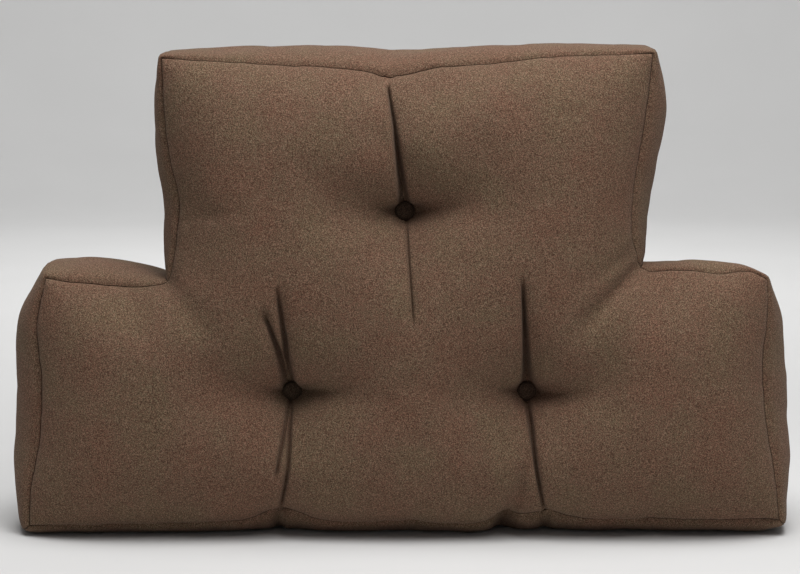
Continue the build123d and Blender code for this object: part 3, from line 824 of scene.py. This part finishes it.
# ---- Materials ----
class Nodes:
    """A material with short ways to add and join its nodes."""

    def __init__(self, name, roughness, **sockets):
        self.material = bpy.data.materials.new(name)
        self.material.use_nodes = True
        self.tree = self.material.node_tree
        self.shader = self.tree.nodes["Principled BSDF"]
        self.put(self.shader, Roughness=roughness, **sockets)
        self.place = self.add("ShaderNodeTexCoord").outputs["Object"]

    def feed(self, socket, value):
        """Links a socket to another one, or sets it to a number or a colour."""
        if isinstance(value, bpy.types.NodeSocket):
            self.tree.links.new(value, socket)
        else:
            socket.default_value = (*value, 1) if isinstance(value, tuple) else value

    def put(self, node, **inputs):
        for key, value in inputs.items():
            self.feed(node.inputs[key.replace("_", " ")], value)
        return node

    def add(self, kind, **inputs):
        return self.put(self.tree.nodes.new(kind), **inputs)

    def noise(self, scale, detail=2.0, roughness=0.5):
        texture = self.add("ShaderNodeTexNoise", Scale=scale, Detail=detail, Roughness=roughness)
        return self.put(texture, Vector=self.place).outputs["Fac"]

    def cells(self, scale):
        return self.add("ShaderNodeTexVoronoi", Vector=self.place, Scale=scale).outputs["Distance"]

    def bands(self, scale, direction, distortion=0.0):
        texture = self.add("ShaderNodeTexWave", Vector=self.place, Scale=scale, Distortion=distortion)
        texture.bands_direction = direction
        return texture.outputs["Fac"]

    def math(self, operation, a, b):
        node = self.add("ShaderNodeMath")
        node.operation = operation
        self.feed(node.inputs[0], a)
        self.feed(node.inputs[1], b)
        return node.outputs[0]

    def sum(self, a, b, share):
        return self.math("ADD", a, self.math("MULTIPLY", b, share))

    def ramp(self, factor, *stops):
        node = self.add("ShaderNodeValToRGB", Fac=factor)
        ramp = node.color_ramp
        while len(ramp.elements) < len(stops):
            ramp.elements.new(0.5)
        for element, (position, colour) in zip(ramp.elements, stops):
            element.position = position
            element.color = (*colour, 1)
        return node.outputs["Color"]

    def multiplied(self, a, b):
        node = self.add("ShaderNodeMix")
        node.data_type = "RGBA"
        node.blend_type = "MULTIPLY"
        for number, value in ((0, 1.0), (6, a), (7, b)):
            self.feed(node.inputs[number], value)
        return node.outputs[2]

    def finished(self, colour, relief, distance, strength=1.0):
        """The material with its colour, and raised by a distance along a texture."""
        bump = self.add("ShaderNodeBump", Height=relief, Distance=distance * MM, Strength=strength)
        self.put(self.shader, Base_Color=colour, Normal=bump.outputs["Normal"])
        return self.material


def darker(colour, share):
    return tuple(share * value for value in colour)


def upholstery(name, shade):
    """A dense brown melange: mixed dark and light fibres in small nubs, with a little sheen."""
    sheen = {"Sheen_Weight": 0.08 * shade, "Sheen_Roughness": 0.5, "Sheen_Tint": (0.75, 0.60, 0.48)}
    m = Nodes(name, 0.92, Specular_IOR_Level=0.15, **sheen)
    nub = m.noise(1250, 2.0, 0.6)
    fleck = m.noise(2300, 1.0, 0.5)
    grain = m.sum(m.math("MULTIPLY", nub, 0.6), fleck, 0.4)
    dark = darker((0.060, 0.033, 0.021), shade)
    middle = darker((0.122, 0.073, 0.048), shade)
    light = darker((0.237, 0.160, 0.116), shade)
    fibres = m.ramp(grain, (0.40, dark), (0.5, middle), (0.60, light))
    tint = m.ramp(m.noise(700, 1.0), (0.4, (1.05, 0.97, 0.94)), (0.6, (0.96, 1.02, 0.97)))
    reddish, greenish = (1.03, 0.93, 0.91), (1.0, 1.04, 0.98)
    patches = m.ramp(m.noise(24, 3.0), (0.36, reddish), (0.5, (1.01, 0.98, 0.96)), (0.64, greenish))
    colour = m.multiplied(m.multiplied(fibres, tint), patches)
    return m.finished(colour, m.sum(grain, m.cells(900), 0.4), 0.65, 0.8)


def liner_fabric():
    m = Nodes("liner_fabric", 0.85, Sheen_Weight=0.1)
    colour = m.ramp(m.noise(600, 3.0), (0.35, (0.62, 0.60, 0.56)), (0.65, (0.78, 0.76, 0.72)))
    return m.finished(colour, m.cells(500), 0.15)


def fibre():
    m = Nodes("fibre_fill", 0.95, Sheen_Weight=0.4)
    colour = m.ramp(m.noise(160, 5.0, 0.7), (0.3, (0.74, 0.73, 0.70)), (0.7, (0.88, 0.87, 0.85)))
    return m.finished(colour, m.noise(240, 5.0, 0.7), 1.5)


def metal(name, colour, roughness, scratch):
    m = Nodes(name, roughness, Metallic=1.0)
    wear = m.noise(900, 3.0, 0.6)
    m.put(m.shader, Roughness=m.math("ADD", m.math("MULTIPLY", wear, scratch), roughness - scratch / 2))
    worn = m.ramp(wear, (0.35, darker(colour, 0.72)), (0.6, colour))
    return m.finished(worn, m.noise(1600, 2.0), 0.03, 0.5)


def twine_fibre():
    m = Nodes("tufting_twine", 0.7)
    colour = m.ramp(m.noise(1500, 2.0), (0.35, (0.40, 0.33, 0.24)), (0.65, (0.58, 0.50, 0.38)))
    return m.finished(colour, m.bands(700, "DIAGONAL"), 0.25)


def woven_tape():
    """Zip tape: fine ribs crossed by wefts."""
    m = Nodes("zip_tape", 0.8, Sheen_Weight=0.15)
    weave = m.math("MULTIPLY", m.bands(420, "Z"), m.bands(900, "X", 0.4))
    return m.finished(m.ramp(weave, (0.1, (0.045, 0.028, 0.019)), (0.9, (0.11, 0.075, 0.053))), weave, 0.25)


def nylon():
    m = Nodes("zip_coil", 0.38, Specular_IOR_Level=0.5)
    colour = m.ramp(m.noise(300, 2.0), (0.4, (0.050, 0.031, 0.021)), (0.6, (0.075, 0.048, 0.033)))
    return m.finished(colour, m.noise(2200, 1.0), 0.02, 0.4)


def thread(name, colour):
    m = Nodes(name, 0.6, Sheen_Weight=0.2)
    strand = m.bands(1300, "DIAGONAL")
    return m.finished(m.ramp(strand, (0.2, darker(colour, 0.7)), (0.8, colour)), strand, 0.08)


def satin_label():
    m = Nodes("care_label", 0.42, Sheen_Weight=0.2)
    weave = m.bands(1900, "Z", 0.3)
    return m.finished(m.ramp(weave, (0.2, (0.70, 0.68, 0.63)), (0.8, (0.80, 0.78, 0.73))), weave, 0.05)


UPHOLSTERY = upholstery("upholstery_fabric", 1.0)
# A darker copy of the upholstery on the buttons: painted shade for the deep wells around them.
BUTTON_PAINTED_SHADE_FABRIC = upholstery("button_fabric", 0.35)
# A darker copy of the upholstery: painted shade along the seam grooves.
SEAM_SHADE_FABRIC = upholstery("pressed_fabric", 0.35)
LINER_FABRIC = liner_fabric()
FIBRE = fibre()
SLIDER_METAL = metal("zip_metal", (0.20, 0.135, 0.085), 0.34, 0.16)
ALUMINIUM = metal("button_aluminium", (0.72, 0.72, 0.73), 0.38, 0.12)
WIRE = metal("button_wire", (0.55, 0.55, 0.56), 0.30, 0.12)
TWINE = twine_fibre()
TAPE = woven_tape()
NYLON = nylon()
SEAM_THREAD = thread("seam_thread", (0.085, 0.055, 0.038))
LABEL_THREAD = thread("label_thread", (0.62, 0.60, 0.55))
SATIN = satin_label()

# ---- Cover, liner and fill ----
cage, cage_faces, cage_owners = build_cage()
shaped = simulate(cage, cage_faces)
unpressed, rest, faces, owners = subdivided(shaped, cage, cage_faces, cage_owners)
surface = press_seams(press_folds(unpressed, rest), rest, faces)
under = press_seams(press_folds(unpressed, rest, under=True), rest, faces)
normals = vertex_normals(surface, faces)
under_normals = vertex_normals(under, faces)

face_rest = rest[faces].mean(axis=1)
in_opening = (face_rest[:, 1] > SEAM_Y + 5) & (abs(face_rest[:, 0]) < OPENING[0])
in_opening &= abs(face_rest[:, 2] - ZIP_Z) < OPENING[1]
eyelet = (tuft_distance(face_rest[:, 0], face_rest[:, 2]) < EYELET_RADIUS) & (abs(face_rest[:, 1]) < 60)
for number, name in enumerate(PIECES):
    own = faces[(owners == number) & ~in_opening & ~eyelet]
    piece = make_object(name + "_fabric", *thick(surface, normals, own, CLOTH))
    finish(piece, UPHOLSTERY, name)
    # The seams' turned-in edges get painted shade.
    paint_seam_shade(piece, len(own))

zip_room = smoothstep((ZIP_FLAT + 3 - abs(rest[:, 2] - ZIP_Z)) / 3)
zip_room *= smoothstep((ZIP_FLAT_END + 3 - abs(rest[:, 0])) / 3)
zip_room *= np.where(rest[:, 1] > SEAM_Y + 5, ZIP_ROOM, 0)


def layer_inside(depth):
    """The places of a layer that runs a depth inside the cover, and further in behind the zip."""
    layer = under - under_normals * depth
    layer[:, 1] -= zip_room
    layer[:, 2] = np.maximum(layer[:, 2], depth)
    return layer


liner = layer_inside(LINER_DEPTH)
for side, outward in OUTWARD.items():
    half = faces[(face_rest[:, 1] < 0) == (outward < 0)]
    piece = make_object(f"liner_{side}_bag", *thick(liner, under_normals, half, LINER))
    finish(piece, LINER_FABRIC, f"liner_{side}")
piece = make_object("fibre_mass", layer_inside(FILL_DEPTH), faces.tolist())
finish(piece, FIBRE, "fibre_fill")


# ---- Covered buttons ----
BUTTON_RINGS = 14
BUTTON_SPOKES = 64
BUTTON_WALL = 1.9  # height of its upright side
BUTTON_TURN_IN = 1.6  # how far the fabric goes on under the rim
BUTTON_ARC = 0.62 * math.pi  # how far its profile turns from the top to the end of the fabric
BUTTON_PLEATS, PLEAT_DEPTH = 16, 0.16
BUTTON_CLOTH = 0.6


def disc_faces(rings, spokes):
    """The faces of a disc: its middle point, then rings with a point for each spoke."""
    solid = []
    for spoke in range(spokes):
        following = (spoke + 1) % spokes
        solid.append([0, 1 + following, 1 + spoke])
        for ring in range(rings - 1):
            a, b = 1 + ring * spokes, 1 + (ring + 1) * spokes
            solid.append([a + spoke, a + following, b + following, b + spoke])
    return solid


def button_fabric(side):
    """A disc of fabric drawn over a domed shell and gathered in small pleats under its rim."""
    places = [(0.0, BUTTON_HEIGHT, 0.0)]
    for ring in range(1, BUTTON_RINGS + 1):
        over = ring / BUTTON_RINGS
        angle = over * BUTTON_ARC
        dome = min(angle, math.pi / 2)
        radius = BUTTON_RADIUS * math.sin(dome) ** 0.9
        height = BUTTON_WALL + (BUTTON_HEIGHT - BUTTON_WALL) * math.cos(dome)
        if angle > dome:
            turned = (angle - dome) / (BUTTON_ARC - dome)
            height = BUTTON_WALL * (1 - turned)
            radius = BUTTON_RADIUS - BUTTON_TURN_IN * max(0, turned - 0.6) / 0.4
        for spoke in range(BUTTON_SPOKES):
            around = 2 * math.pi * spoke / BUTTON_SPOKES
            pleat = PLEAT_DEPTH * smoothstep((over - 0.55) / 0.3) * (math.cos(BUTTON_PLEATS * around) - 1)
            r = radius + float(pleat)
            places.append((r * math.cos(around), height, r * math.sin(around)))
    places = np.array(places)
    solid = disc_faces(BUTTON_RINGS, BUTTON_SPOKES)
    if side == "front":
        places[:, 1] *= -1
        solid = [face[::-1] for face in solid]
    return places, solid


for tuft in TUFTS:
    for side, outward in OUTWARD.items():
        places, solid = button_fabric(side)
        places = places + (AXES[tuft][0], outward * SEAT[side], AXES[tuft][1])
        button = make_object(f"{tuft}_{side}_button_cover", places, solid)
        apply_shell(button, BUTTON_CLOTH)
        finish(button, BUTTON_PAINTED_SHADE_FABRIC, f"{tuft}_{side}_button_fabric")

# ---- Zip ----
COIL_PITCH = 1.5
COIL_WIRE = 0.33  # radius
COIL_OVERLAP = 0.45  # the heads reach this far past the middle, between the other coil's
COIL_SAMPLES = 12
WIRE_SIDES = 6
THREAD = 0.28  # radius
STITCH_IN = 2.6  # from a folded edge to the stitching beside it


def tube(route, radius, sides):
    """A round tube along a route, with its ends capped."""
    route = np.asarray(route, float)
    tangent = unit(np.gradient(route, axis=0))
    guide = np.where(abs(tangent[:, 1:2]) < 0.9, (0.0, 1.0, 0.0), (1.0, 0.0, 0.0))
    across = unit(np.cross(tangent, guide))
    above = np.cross(across, tangent)
    turn = (2 * np.pi * np.arange(sides) / sides)[:, None]
    around = np.cos(turn) * across[:, None] + np.sin(turn) * above[:, None]
    places = (route[:, None] + radius * around).reshape(-1, 3)
    solid = []
    for k in range(len(route) - 1):
        a, b = k * sides, (k + 1) * sides
        for s in range(sides):
            t = (s + 1) % sides
            solid.append([a + t, a + s, b + s, b + t])
    solid.append(list(range(sides)))
    solid.append([(len(route) - 1) * sides + s for s in reversed(range(sides))])
    return places, solid


for name, up in (("zip_coil_upper", 1), ("zip_coil_lower", -1)):
    low, high = node_box(name)
    turns = (high[0] - low[0] - 2 * COIL_WIRE) / COIL_PITCH
    t = np.linspace(0, turns, int(turns * COIL_SAMPLES) + 1)
    angle = 2 * np.pi * t
    head = ZIP_Z - up * COIL_OVERLAP
    root = high[2] if up > 0 else low[2]
    reach = abs(root - head) / 2 - COIL_WIRE
    route = np.stack(
        (
            low[0] + COIL_WIRE + (t + 0.5 * (up > 0)) * COIL_PITCH * (turns / (turns + 0.5)),
            (low[1] + high[1]) / 2 + ((high[1] - low[1]) / 2 - COIL_WIRE) * np.sin(angle),
            (root + head) / 2 + reach * np.cos(angle),
        ),
        axis=1,
    )
    coil = make_object(name + "_helix", *tube(route, COIL_WIRE, WIRE_SIDES))
    finish(coil, NYLON, name)

# Stitching along the folded edges of the opening, at its ends and along the top of the care label.
cover_tree = BVHTree.FromPolygons([tuple(place) for place in surface], faces.tolist())


def on_back(x, z):
    """How far back the cover reaches at a place."""
    return cover_tree.ray_cast(Vector((x, 200, z)), Vector((0, -1, 0)))[0].y


def stitch_row(name, corners, spacing, lift, radius, material):
    """Stitches along straight runs on the back of the cover, each one an arched bit of thread."""
    all_places, all_faces = [], []
    for start, end in zip(corners[:-1], corners[1:]):
        start, end = np.array(start, float), np.array(end, float)
        count = max(1, round(np.linalg.norm(end - start) / spacing))
        for k in range(count):
            a, b = (start + (end - start) * (k + share) / count for share in (0.1, 0.9))
            route = []
            for share in np.linspace(0, 1, 6):
                x, z = a + (b - a) * share
                rise = radius * 1.6 * math.sin(math.pi * share) - radius * 0.9
                route.append((x, on_back(x, z) + lift + rise, z))
            places, solid = tube(route, radius, WIRE_SIDES)
            offset = len(all_places)
            all_places += [tuple(place) for place in places]
            all_faces += [[offset + v for v in face] for face in solid]
    finish(make_object(name, all_places, all_faces), material)


for name, up in (("zip_stitching_upper", 1), ("zip_stitching_lower", -1)):
    edge = ZIP_Z + up * (OPENING[1] + STITCH_IN)
    ends = OPENING[0] - 1
    stitch_row(name, [(-ends, edge), (ends, edge)], 3.2, 0, THREAD, SEAM_THREAD)
for name, x in (("zip_bar_tack_left", -OPENING[0] - 1.5), ("zip_bar_tack_right", OPENING[0] + 1.5)):
    tack = [(x, ZIP_Z - 5.5), (x, ZIP_Z + 5.5)]
    stitch_row(name, tack, 1.6, 0, THREAD, SEAM_THREAD)


# ---- Care label ----
LABEL_ACROSS, LABEL_DOWN = 22, 30  # its faces
LABEL_GAP = 0.15  # between the label and the cover
LABEL_CURL, LABEL_RIPPLE = 2.6, 0.35
LABEL_STITCH_SIDE, LABEL_STITCH_DOWN = 1.5, 3.2  # its stitching's distance from its sides and its top


def care_label():
    """A satin ribbon, stitched along its top, that curls away from the cover lower down."""
    low, high = node_box("care_label")
    thickness = high[1] - low[1]
    top = high[2] - 1.0
    places, solid = [], []
    for k in range(LABEL_DOWN + 1):
        share = k / LABEL_DOWN
        z = top + (low[2] - top) * share
        for i in range(LABEL_ACROSS + 1):
            x = low[0] + (high[0] - low[0]) * i / LABEL_ACROSS
            curl = LABEL_CURL * share**3 + LABEL_RIPPLE * math.sin(5 * share + 0.23 * i) * share
            places.append((x, on_back(x, z) + thickness + LABEL_GAP + curl, z))
            if k < LABEL_DOWN and i < LABEL_ACROSS:
                a = len(places) - 1
                b = a + LABEL_ACROSS + 1
                solid.append([b, b + 1, a + 1, a])
    label = make_object("care_label_ribbon", places, solid)
    apply_shell(label, thickness)
    finish(label, SATIN, "care_label")
    left, right, z = low[0] + LABEL_STITCH_SIDE, high[0] - LABEL_STITCH_SIDE, high[2] - LABEL_STITCH_DOWN
    lift = thickness + LABEL_GAP
    stitch_row("care_label_stitching", [(left, z), (right, z)], 2.6, lift, 0.22, LABEL_THREAD)


care_label()

# ---- CAD nodes that are kept ----
KEPT = dict.fromkeys(("zip_slider", "zip_pull_tab", "zip_top_stops", "zip_bottom_stop"), SLIDER_METAL)
KEPT |= dict.fromkeys(("zip_tape_upper", "zip_tape_lower"), TAPE)
for tuft in TUFTS:
    KEPT[f"{tuft}_tuft_twine"] = TWINE
    for side in OUTWARD:
        for part, material in (("shell", ALUMINIUM), ("plate", ALUMINIUM), ("eye", WIRE)):
            KEPT[f"{tuft}_{side}_button_{part}"] = material
for name, material in KEPT.items():
    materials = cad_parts[name].data.materials
    materials.clear()
    materials.append(material)


# ---- Floor, lights and camera ----
FLOOR_RINGS = (600.0, 1300.0, 2000.0, 2600.0)
WALL_BEND, WALL_HEIGHT = 1400.0, 1500.0
BEND_STEPS = 12
BOWL_SPOKES = 96
FLOOR_GAP = 0.05  # the floor lies this far below the cushion


def studio_bowl():
    """A round pale floor that curves up into a wall, the same from every side."""
    profile = [(radius, 0.0) for radius in FLOOR_RINGS]
    for step in range(1, BEND_STEPS + 1):
        angle = math.pi / 2 * step / BEND_STEPS
        radius = FLOOR_RINGS[-1] + WALL_BEND * math.sin(angle)
        profile.append((radius, WALL_BEND * (1 - math.cos(angle))))
    profile.append((FLOOR_RINGS[-1] + WALL_BEND, WALL_BEND + WALL_HEIGHT))
    places = [(0, 0, 0)]
    for radius, z in profile:
        for turn in (2 * math.pi * spoke / BOWL_SPOKES for spoke in range(BOWL_SPOKES)):
            places.append((radius * math.cos(turn), radius * math.sin(turn), z))
    bowl = make_object("floor", places, [face[::-1] for face in disc_faces(len(profile), BOWL_SPOKES)])
    bowl.location.z = -FLOOR_GAP * MM
    m = Nodes("floor", 0.85)
    pale = m.ramp(m.noise(3, 2.0), (0.3, (0.64, 0.637, 0.632)), (0.7, (0.66, 0.657, 0.652)))
    m.put(m.shader, Base_Color=pale)
    bowl.data.materials.append(m.material)


# Lights and the camera are in metres. Each light: its name, place, aim, diameter and power in watts.
CUSHION_MIDDLE = (0, 0, 0.2)
LIGHTS = (
    ("overhead", (0.0, -0.35, 2.3), CUSHION_MIDDLE, 1.3, 43),
    ("key", (0.35, -0.65, 1.2), CUSHION_MIDDLE, 0.6, 7.0),
    ("rim", (0.0, 1.8, 1.6), CUSHION_MIDDLE, 1.0, 6),
    ("backdrop", (0.0, 1.3, 1.9), (0, 3.6, 0.7), 1.6, 34),
)
SKY_COLOUR, SKY_STRENGTH = (0.88, 0.89, 0.90, 1), 0.185
CAMERA_PLACE, CAMERA_LENS = (-0.0046, -1.570, 0.3875), 92.7
CAMERA_TILT = 7.33  # degrees downwards


def area_light(name, place, aim, size, power):
    data = bpy.data.lights.new(name, "AREA")
    data.shape = "DISK"
    data.size = size
    data.energy = power
    light = bpy.data.objects.new(name, data)
    light.location = place
    light.rotation_euler = (Vector(aim) - Vector(place)).to_track_quat("-Z", "Y").to_euler()
    bpy.context.scene.collection.objects.link(light)


studio_bowl()
for light in LIGHTS:
    area_light(*light)
world = bpy.data.worlds.new("studio")
world.use_nodes = True
sky = world.node_tree.nodes["Background"]
sky.inputs["Color"].default_value = SKY_COLOUR
sky.inputs["Strength"].default_value = SKY_STRENGTH
bpy.context.scene.world = world
bpy.context.scene.view_settings.view_transform = "Standard"

camera_data = bpy.data.cameras.new("camera")
camera_data.lens = CAMERA_LENS
camera_data.clip_start = 0.05
camera = bpy.data.objects.new("camera", camera_data)
camera.location = CAMERA_PLACE
camera.rotation_euler = (math.radians(90 - CAMERA_TILT), 0, 0)
bpy.context.scene.collection.objects.link(camera)
bpy.context.scene.camera = camera
